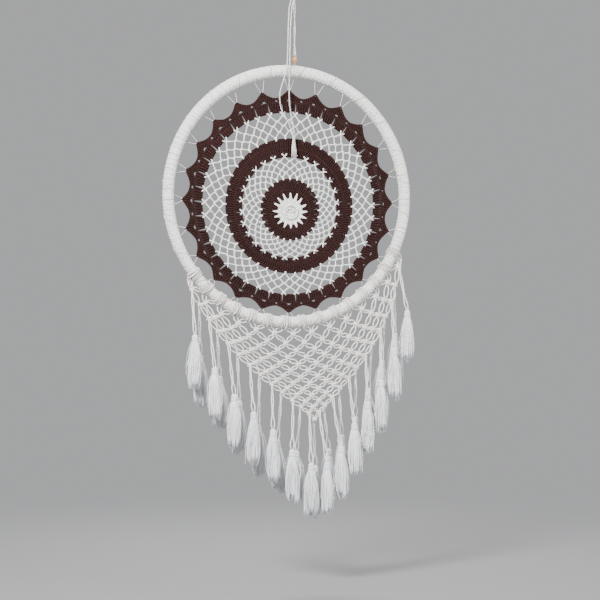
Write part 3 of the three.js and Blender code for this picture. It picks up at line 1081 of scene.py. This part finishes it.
@dataclass
class FringeNet:
    """The hitches on the hoop and the net of alternating square knots that hangs from them."""

    hoop: Hoop
    hitches: int = 15
    middle_place: float = 8.0
    hitch_spacing: float = 8.25
    middle_turn: float = 6.1
    first_row_radius: float = 184.0
    rows: int = 14
    depth: float = 115.0
    narrowing: float = 0.57
    drift: float = 17.0
    right_side_sag: float = 0.02
    cord_radius: float = 0.85
    bow: float = 1.8
    knot_size: float = 1.28
    wraps: int = 5
    wrap_pitch: float = 2.3
    over: tuple = (
        (-2.0, 2.1, 0.2), (-2.1, 1.1, 0.9), (0.0, 0.95, 1.6), (2.0, 0.7, 0.7), (2.1, 0.0, -0.6),
        (0.0, -0.5, -1.6), (-2.0, -0.7, -0.5), (-2.1, -1.3, 0.4), (-1.9, -2.1, 0.2),
    )  # fmt: skip
    under: tuple = (
        (2.0, 2.1, 0.2), (2.1, 1.2, -0.5), (0.0, 0.9, -1.6), (-2.0, 0.6, -0.5), (-2.2, -0.1, 0.5),
        (0.0, -0.75, 1.6), (2.1, -0.9, 0.8), (2.1, -1.5, 0.3), (1.9, -2.1, 0.2),
    )  # fmt: skip
    core: tuple = ((-0.75, 2.5, 0.1), (-0.7, 0.0, 0.0), (-0.75, -2.5, 0.1))
    chance: random.Random = field(default_factory=lambda: random.Random(31))

    def hitch_turn(self, place: float) -> float:
        """Returns the angle of a place along the row of hitches, from straight down, in radians."""
        return math.radians(self.middle_turn + self.hitch_spacing * (place - self.middle_place))

    def knot(self, row: int, place: float) -> Vector:
        """Finds the middle of a knot.

        Args:
            row: its row, from 1 at the top.
            place: its place along the hitches, where 8 is the middle hitch.

        Returns:
            The knot's middle.
        """
        start = self.hoop.point(self.hitch_turn(place), self.first_row_radius)
        middle = self.hoop.point(self.hitch_turn(self.middle_place), self.first_row_radius)
        depth = (row - 1) / (self.rows - 1)
        spread = 1 - self.narrowing * depth**2.8
        sag = 1 + self.right_side_sag * (place - self.middle_place)
        across = middle.x + spread * (start.x - middle.x) + self.drift * depth**0.75
        return Vector((across, 0, start.z - self.depth * sag * depth**0.87))

    def places(self, row: int) -> list[float]:
        """Returns the places of a row's knots, which sit between those of the row above."""
        return [1 + row / 2 + k for k in range(self.hitches - row)]

    def add_knot(self, work: YarnWork, middle: Vector, size: float) -> None:
        """Adds a square knot: two strands that cross in front of and behind two straight ones.

        Args:
            work: the yarn work that it goes to.
            middle: the knot's middle.
            size: its size as a share of the shapes'.
        """
        tilt = self.chance.uniform(-0.12, 0.12)
        mirrored = tuple((-across, up, front) for across, up, front in self.core)
        for shape in (self.over, self.under, self.core, mirrored):
            line = [Vector((across + tilt * up, -front, up - tilt * across)) for across, up, front in shape]
            work.add(curved([middle + size * place for place in line], 0.9), 0.85 + 0.2 * size)

    def add_pair(self, work: YarnWork, starts: tuple[Vector, Vector], ends: tuple[Vector, Vector]) -> None:
        """Adds two cords side by side that bow a little apart.

        Args:
            work: the yarn work that they go to.
            starts: where each cord begins.
            ends: where each cord ends.
        """
        reach = (ends[0] + ends[1] - starts[0] - starts[1]) / 2
        aside = reach.cross(BACK).normalized()
        if (starts[0] + ends[0] - starts[1] - ends[1]).dot(aside) < 0:
            aside = -aside
        for side, start, end in zip((1, -1), starts, ends):
            bow = side * min(self.bow, reach.length * 0.17) * self.chance.uniform(0.6, 1.2)
            lift = BACK * self.chance.uniform(-0.25, 0.25)
            bends = [start.lerp(end, share) + aside * bow + lift for share in (0.3, 0.7)]
            work.add(curved([start, *bends, end]))

    def hitch_ends(self, number: int, side: int) -> tuple[Vector, Vector]:
        """Returns where a hitch's pair of cords leaves it, the outer cord first, on the side asked for."""
        turn = self.hitch_turn(number)
        radius = self.hoop.centre_radius + self.hoop.outside_at(turn) + 0.4
        outer = side * 4.2 / radius
        inner = side * 1.7 / radius
        return (self.hoop.point(turn + outer, radius, -0.8), self.hoop.point(turn + inner, radius, -0.8))

    def knot_ends(self, knot: Vector, side: int, way: int) -> tuple[Vector, Vector]:
        """Finds where a pair of cords enters or leaves a knot.

        Args:
            knot: the knot's middle.
            side: -1 for the pair on the left, 1 for the one on the right.
            way: 1 for the knot's top, -1 for its foot.

        Returns:
            The outer cord's end and the inner cord's.
        """
        return (knot + Vector((side * 2.4, -0.2, way * 2.3)), knot + Vector((side * 0.95, -0.1, way * 2.8)))

    def make_net(self) -> tuple[YarnWork, YarnWork]:
        """Ties the net and returns its knots and its cords."""
        knots, cords = YarnWork(self.cord_radius), YarnWork(self.cord_radius)
        for row in range(1, self.rows + 1):
            for place in self.places(row):
                knot = self.knot(row, place)
                room = min((knot - self.knot(row + 1, place + side * 0.5)).length for side in (-1, 1))
                self.add_knot(knots, knot, min(self.knot_size, room / 7.0))
                for side in (-1, 1):
                    above = place + side * 0.5
                    if row == 1:
                        starts = self.hitch_ends(round(above), -side)
                    else:
                        starts = self.knot_ends(self.knot(row - 1, above), -side, -1)
                    outer, inner = self.knot_ends(knot, side, 1)
                    self.add_pair(cords, starts, (inner, outer))
        for number, side in ((1, -1), (self.hitches, 1)):
            edge = self.knot(1, number - side * 0.5)
            outer, inner = self.knot_ends(edge, side, 1)
            self.add_pair(cords, self.hitch_ends(number, side), (outer, inner))
        return knots, cords

    def make_hitch(self, name: str, number: int) -> bpy.types.Object:
        """Makes one hitch: turns of cord side by side round the hoop, with one that crosses them.

        Args:
            name: the piece's name.
            number: the hitch's number, from 1 at the left.

        Returns:
            The hitch.
        """
        work = YarnWork(self.cord_radius)
        middle = self.hitch_turn(number)
        radius = self.hoop.outside_at(middle) + self.cord_radius * 0.9
        outwards = self.hoop.centre_radius
        steps = 26
        for k in range(self.wraps):
            offset = (k - (self.wraps - 1) / 2) * self.wrap_pitch
            lean = self.chance.uniform(-0.5, 0.5)
            line: Line = []
            for i in range(steps):
                spin = FULL_TURN * i / steps
                along = middle + (offset + lean * math.cos(spin)) / outwards
                line.append(self.hoop.around(along, spin, radius + 0.1 * math.sin(3 * spin + k)))
            work.add(line, 0.95, closed=True)
        reach = self.wrap_pitch * self.chance.uniform(0.8, 1.7) * self.chance.choice((-1, 1))
        crossing: Line = []
        for i in range(steps):
            spin = FULL_TURN * i / steps
            along = middle + reach * math.cos(spin / 2) / outwards
            crossing.append(self.hoop.around(along, spin, radius + 0.75 + 0.5 * math.sin(spin / 2)))
        work.add(crossing)
        return work.build(name)

    def build(self, wardrobe: Wardrobe) -> None:
        """Makes and dresses the net and its hitches."""
        knots, cords = self.make_net()
        wardrobe.dress(knots.build("net_knots"), Finish.CORD, "hoop", "fringe_net")
        wardrobe.dress(cords.build("net_cords"), Finish.CORD, "hoop", "fringe_net")
        for number in range(1, self.hitches + 1):
            node = f"hitch_{number:02d}"
            wardrobe.dress(self.make_hitch(f"cord_{node}", number), Finish.CORD, "hoop", node)


# ---------------------------------------------------------------- tassels


@dataclass
class Tassel:
    """One tassel on its pair of cords, which swings from its knot in the net."""

    node: str
    knot: Vector
    seed: int
    fullness: float = 1.0
    cord_radius: float = 0.85
    cord_spread: float = 1.0
    skirt_radius: float = 9.5
    head_height: float = 8.0
    head_radius: float = 3.9
    neck_radius: float = 2.9
    head_yarn_radius: float = 0.8
    folds: int = 18
    tie_turns: int = 4
    skirt_length: float = 66.0
    strands: int = 140
    strand_radius: float = 0.7
    strays: int = 6

    def __post_init__(self) -> None:
        """Works out where the tassel hangs from its node's box."""
        low, high = (Vector(corner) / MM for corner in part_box(self.node))
        self.chance = random.Random(self.seed)
        self.front = -1 if low.y + high.y < 0 else 1
        depth = high.y - self.skirt_radius if self.front > 0 else low.y + self.skirt_radius
        top = low.z + self.skirt_length + self.head_height
        self.head = Vector((high.x - self.skirt_radius, depth, top))
        self.lean = Vector((self.chance.uniform(-1.6, 1.6), self.front * self.chance.uniform(-0.3, 0.5), 0))
        count = self.chance.choice((6, 7, 8))
        self.locks = []
        for k in range(count):
            middle = FULL_TURN * (k + 0.5) / count
            self.locks.append((middle, self.chance.uniform(0.88, 1.0), self.chance.uniform(0.25, 0.8)))

    def cord_path(self) -> Line:
        """Returns the middle line of the pair of cords, from the knot down to the head."""
        path: Line = []
        for share in shares(20):
            ease = share**1.25
            place = self.knot.lerp(self.head, share)
            place.x = self.knot.x + (self.head.x - self.knot.x) * ease
            place.y = self.knot.y + (self.head.y - self.knot.y) * ease
            path.append(place)
        return path

    def make_cords(self) -> bpy.types.Object:
        path = self.cord_path()
        work = YarnWork(self.cord_radius)
        opening = self.chance.uniform(0.9, 1.7)
        wave = self.chance.uniform(0, FULL_TURN)
        for side in (-1, 1):
            line: Line = []
            for i, place in enumerate(path):
                share = i / (len(path) - 1)
                apart = self.cord_spread + 0.45 * math.sin(2.2 * FULL_TURN * share + wave)
                apart += opening * math.exp(-(((share - 0.9) / 0.08) ** 2))
                line.append(place + Vector((side * apart, 0.2 * side * math.sin(FULL_TURN * share), 0)))
            line[-1] += Vector((0, 0, -1.5))
            work.add(line)
        piece = work.build(f"cords_{self.node}")
        return piece

    def make_head(self) -> bpy.types.Object:
        """Makes the head: yarn folded over the cords and tied in at the neck."""
        work = YarnWork(self.head_yarn_radius)
        for i in range(self.folds):
            across = heading(FULL_TURN * (i + 0.3 * self.chance.random()) / self.folds)
            shape = (
                (0.5, 0.6),
                (self.head_radius - 1.3, 1.4),
                (self.head_radius - 0.6, 3.6),
                (self.neck_radius - 0.2, 6.4),
                (self.neck_radius, self.head_height + 1.0),
            )
            line = [self.head + across * radius - UP * drop for radius, drop in shape]
            work.add(curved(line, 1.4))
        points = 14
        tie: Line = []
        for i in range(self.tie_turns * points + 1):
            across = heading(FULL_TURN * i / points)
            tie.append(self.head + across * (self.neck_radius + 0.9) - UP * (6.0 + 0.75 * i / points))
        work.add(tie, 0.65)
        return work.build(f"head_{self.node}")

    def skirt_strand(self, number: int) -> Line:
        """Returns one hanging strand of the skirt.

        Args:
            number: the strand's number, which spirals outwards from the middle.

        Returns:
            The strand, from the neck down.
        """
        chance = self.chance
        share, turn = filling(number, self.strands)
        turn %= FULL_TURN
        lock, trim, gather = self.locks[int(turn / FULL_TURN * len(self.locks))]
        reach = self.fullness * self.skirt_radius - self.strand_radius - 0.2
        length = self.skirt_length * trim - 0.4 - 5.0 * chance.random() ** 2 - 1.5 * share
        sway = chance.uniform(0, FULL_TURN)
        size = chance.uniform(0.2, 0.9)
        line: Line = []
        for fall in shares(8):
            bulge = 1 - (1 - fall) ** 3.0
            late = max(0.0, fall - 0.5) / 0.5
            aim = turn + (lock - turn) * gather * late * late
            radius = share * (self.neck_radius + (reach - self.neck_radius) * bulge)
            radius -= share * 2.6 * gather * late * late
            across = heading(aim) * radius
            wave = Vector((math.sin(sway + 9 * fall), math.cos(1.3 * sway + 7 * fall), 0)) * size * fall
            drop = UP * (self.head_height + length * fall)
            line.append(self.head - drop + across + wave + self.lean * fall * fall)
        return line

    def stray(self) -> Line:
        """Returns one loose thread that wanders over the outside of the skirt."""
        chance = self.chance
        turn = chance.uniform(0, FULL_TURN)
        drift = chance.uniform(-1.3, 1.3)
        length = self.skirt_length * chance.uniform(0.45, 0.97)
        line: Line = []
        for fall in shares(12):
            aim = turn + drift * fall * fall + 0.12 * math.sin(9 * fall + turn)
            full = 1 - (1 - fall) ** 3.0
            radius = self.neck_radius + (self.fullness * self.skirt_radius + 0.7 - self.neck_radius) * full
            across = heading(aim) * radius
            drop = UP * (self.head_height - 1 + length * fall)
            line.append(self.head - drop + across + self.lean * fall * fall)
        return line

    def make_skirt(self) -> bpy.types.Object:
        """Makes the skirt of loose strands, with a few stray threads over it."""
        work = YarnWork(self.strand_radius, 4)
        for number in range(self.strands):
            inside = 1.35 - 0.4 * number / self.strands
            work.add(self.skirt_strand(number), inside * self.chance.uniform(0.8, 1.1), frayed=True)
        for _ in range(self.strays):
            work.add(self.stray(), 0.55)
        return work.build(f"skirt_{self.node}")

    def build(self, wardrobe: Wardrobe) -> None:
        """Makes and dresses the tassel's pieces."""
        wardrobe.dress(self.make_cords(), Finish.CORD, self.node, self.node)
        wardrobe.dress(self.make_head(), Finish.TASSEL, self.node, self.node)
        wardrobe.dress(self.make_skirt(), Finish.TASSEL, self.node, self.node)


# ---------------------------------------------------------------- hanger


@dataclass
class Hanger:
    """The loop, knot and doubled cord that the hoop hangs on, its bead, and the loose tails."""

    hoop: Hoop
    shift: float = -8.0
    strand_radius: float = 0.78
    ply_radius: float = 0.42
    knot_yarn_radius: float = 1.35
    thread_radius: float = 0.5
    tie_radius: float = 0.36
    cord_offset: float = 0.76
    cord_pitch: float = 60.0
    loop_offset: float = 0.72
    loop_pitch: float = 8.0
    tail_offset: float = 0.46
    tail_pitch: float = 5.2
    knot_foot: float = -40.3
    binding_top: float = -116.7
    binding_foot: float = -123.0
    thread_end: float = -136.6
    loop_points: tuple = ((6.2, 0, -29.7), (1, 0, -13.5), (8, 0, -1.5), (15, 0, -13.5), (9.8, 0, -29.7))
    left_tail: tuple = (
        (5, -2.8, -41), (-1, -5, -60), (-3.5, -7.5, -89), (-6.2, -10.6, -135), (-10.4, -10.8, -154),
        (-16, -9, -176), (-13.4, -8, -196), (-3.5, -7, -213), (3.4, -6.2, -229),
    )  # fmt: skip
    right_tail: tuple = (
        (8.4, -3.4, -41), (2.6, -5.5, -60), (-0.3, -7.5, -89), (-2.6, -10.6, -138), (-3.3, -10.4, -166),
        (-2.1, -9, -190), (2.2, -7.4, -212), (6, -6, -229),
    )  # fmt: skip
    tuft_top: tuple = (4.8, -6, -230)
    tuft_length: float = 30.0
    tuft_radius: float = 4.5
    tuft_strands: int = 60
    tuft_strand_radius: float = 0.38
    chance: random.Random = field(default_factory=lambda: random.Random(47))

    def placed(self, points: tuple) -> Line:
        """Returns given points, moved from the hanger's own middle to the frame's."""
        return [Vector(point) + Vector((self.shift, 0, 0)) for point in points]

    def rope(
        self, name: str, strands: list[Line], work: YarnWork
    ) -> bpy.types.Object:
        """Args:
            name: the piece's name.
            strands: the line of each strand.
            work: an empty work of the strands' thickness.

        Returns:
            The rope.
        """
        for strand in strands:
            work.add(strand)
        piece = work.build(name)
        return piece

    def coil(self, top: Vector, radius: float, turns: int, pitch: float, points: int = 16) -> Line:
        """Returns a cord's turns round an upright line, downwards.

        Args:
            top: the middle of the first turn.
            radius: the radius of the turns.
            turns: how many there are.
            pitch: how far each drops.
            points: the points in each turn.

        Returns:
            The turns as a line.
        """
        line: Line = []
        for i in range(turns * points + 1):
            spin = FULL_TURN * i / points
            drop = -pitch * i / points
            line.append(top + Vector((radius * math.cos(spin), radius * math.sin(spin), drop)))
        return line

    def make_top_knot(self) -> bpy.types.Object:
        """Makes the knot under the loop, in the same cord."""
        work = YarnWork(self.knot_yarn_radius, 8)
        for strand in plied(self.coil(UP * -32.0, 2.75, 3, 2.1), 2, 0.45, 5.0):
            work.add(strand, 0.75)
        over = [(3.2, -1.5, -31), (2.6, -3.0, -34), (-2.4, -3.1, -36.5), (-3.2, -0.5, -39)]
        work.add(curved([Vector(point) for point in over], 0.8), 0.8)
        for side in (-1, 1):
            work.add([Vector((side * 1.5, 0, z)) for z in (-30.4, -33, -36, -39.9)], 0.9)
        return work.build("cord_top_knot")

    def make_binding(self) -> bpy.types.Object:
        """Makes the whipping over the bead and the thread that runs on through the bead to the hoop."""
        work = YarnWork(self.thread_radius)
        start = self.binding_top - 0.8
        work.add(self.coil(Vector((0, 0, start)), 1.8, 6, 0.92))
        for side in (-1, 1):
            work.add([Vector((side * 0.3, 0, z)) for z in (start, -128, self.thread_end + 0.6)], 0.7)
            ends = (self.binding_top - 0.3, self.binding_foot)
            work.add([Vector((side * 0.8, 0, z)) for z in ends], 1.5)
        return work.build("thread_binding")

    def make_hoop_ties(self) -> bpy.types.Object:
        """Makes the few turns of thread that tie the bead's thread to the hoop."""
        work = YarnWork(self.tie_radius)
        start = math.pi + self.shift / self.hoop.centre_radius
        for slant in (-5.0, 3.5, 7.0):
            line: Line = []
            for share in shares(18):
                along = start - (slant * math.sin(math.pi * share)) / self.hoop.centre_radius
                outside = self.hoop.outside_at(along) + 0.25
                line.append(self.hoop.around(along, math.pi + FULL_TURN * share, outside))
            work.add(line)
        return work.build("hoop_ties")

    def make_bead(self) -> bpy.types.Object:
        """Makes the barrel-shaped wooden bead, bored through."""
        low, high = (Vector(corner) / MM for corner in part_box("wooden_bead"))
        radius, height, bore = (high.x - low.x) / 2, high.z - low.z, 1.2
        profile = [(bore, 0.3), (bore + 0.3, 0.0), (bore + 1.1, 0.0)]
        for share in shares(12):
            bulge = math.sin(math.pi * (0.16 + 0.68 * share))
            profile.append((radius * bulge, height * (0.03 + 0.94 * share)))
        profile += [(bore + 1.1, height), (bore + 0.3, height), (bore, height - 0.3)]
        return turned("bead", profile, Vector((0, 0, low.z)), 40)

    def make_tuft(self) -> bpy.types.Object:
        """Makes the frayed end of the tails, tied in near its top."""
        work = YarnWork(self.tuft_strand_radius, 4)
        top = self.placed((self.tuft_top,))[0]
        for number in range(self.tuft_strands):
            share, turn = filling(number, self.tuft_strands)
            across = Vector((math.cos(turn), 0.7 * math.sin(turn), 0)) * share
            lean = 1.6 if across.x > 0 else 0.2
            length = self.tuft_length - 0.6 - 9 * self.chance.random() * share
            line: Line = []
            for fall in shares(6):
                spread = 1.0 + (self.tuft_radius - 1.9) * fall**1.3
                aside = Vector((lean * fall**2 * 0.5, 0, 0))
                line.append(top - UP * (0.4 + length * fall) + across * spread + aside)
            work.add(line, frayed=True)
        work.add(self.coil(top - UP * 2.5, 1.75, 4, 0.8), 1.1)
        return work.build("frayed_tuft")

    def twist(self, path: Line) -> list[Line]:
        """Returns three plies twisted along a path."""
        return plied(path, 3, self.tail_offset, self.tail_pitch)

    def build_tails(self, wardrobe: Wardrobe) -> None:
        """Makes and dresses the two loose tails and their tuft."""
        tuft = wardrobe.dress(self.make_tuft(), Finish.CORD, "tail", "tail_tuft")
        for side, points in (("left", self.left_tail), ("right", self.right_tail)):
            path = curved(self.placed(points), 1.0)
            facts = {"far_end": "object", "lay": "hanging", "diameter": 1.8 * MM}
            if side == "left":
                facts |= {"far_end": "knot", "with_pieces": [tuft]}
            tail = self.rope(f"rope_tail_{side}", self.twist(path), YarnWork(self.ply_radius))
            wardrobe.dress(tail, Finish.CORD, "tail", f"tail_cord_{side}")

    def build(self, wardrobe: Wardrobe) -> None:
        """Makes and dresses the whole hanger."""
        knot = wardrobe.dress(self.make_top_knot(), Finish.CORD, "hoop", "top_knot")
        path = curved(self.placed(self.loop_points), 1.2)
        strands = plied(path, 2, self.loop_offset, self.loop_pitch)
        loop = self.rope("rope_loop", strands, YarnWork(self.strand_radius))
        wardrobe.dress(loop, Finish.CORD, "hanging_loop", "hanging_loop")
        binding = wardrobe.dress(self.make_binding(), Finish.THREAD, "hoop", "cord_binding")
        bead = wardrobe.dress(self.make_bead(), Finish.BEAD, "bead", "wooden_bead")
        wardrobe.dress(self.make_hoop_ties(), Finish.THREAD, "hoop")
        steps = 40
        drop = self.binding_top - self.knot_foot
        path = [Vector((0, 0, self.knot_foot + drop * i / steps)) for i in range(steps + 1)]
        strands = plied(path, 2, self.cord_offset, self.cord_pitch)
        cord = self.rope("rope_hanger", strands, YarnWork(self.strand_radius))
        wardrobe.dress(cord, Finish.CORD, "hoop", "hanger_cord")
        self.build_tails(wardrobe)


# ---------------------------------------------------------------- the whole


def tassels() -> list[Tassel]:
    """Returns every tassel, each at the joint that it swings on. The first on the left are the fullest."""
    usual, most, step = 1.04, 1.26, 0.04
    full = {f"tassel_left_{number:02d}": most - step * number for number in range(1, 5)}
    swings = [joint for joint in frame["joints"] if joint["child"].startswith("tassel")]
    made = []
    for i, joint in enumerate(swings):
        node = joint["child"]
        made.append(Tassel(node, Vector(joint["pos_m"]) / MM, FIRST_SEED + i, full.get(node, usual)))
    return made


def main() -> None:
    """Builds the dream catcher."""
    logging.basicConfig(level=logging.INFO, format="%(name)s: %(message)s")
    studio = Studio()
    studio.add_camera()
    wardrobe = Wardrobe()
    hoop = Hoop()
    Hanger(hoop).build(wardrobe)
    for tassel in tassels():
        tassel.build(wardrobe)
    FringeNet(hoop).build(wardrobe)
    Doily(hoop).build(wardrobe)
    wardrobe.dress(hoop.wind().build("yarn_wrap"), Finish.WRAP, "hoop", "hoop_wrap")
    core = frame["nodes"]["hoop_core"]
    core.data.materials.clear()
    core.data.materials.append(wardrobe.materials[Finish.CANE])
    studio.add_surroundings()


if __name__ == "__main__":
    main()
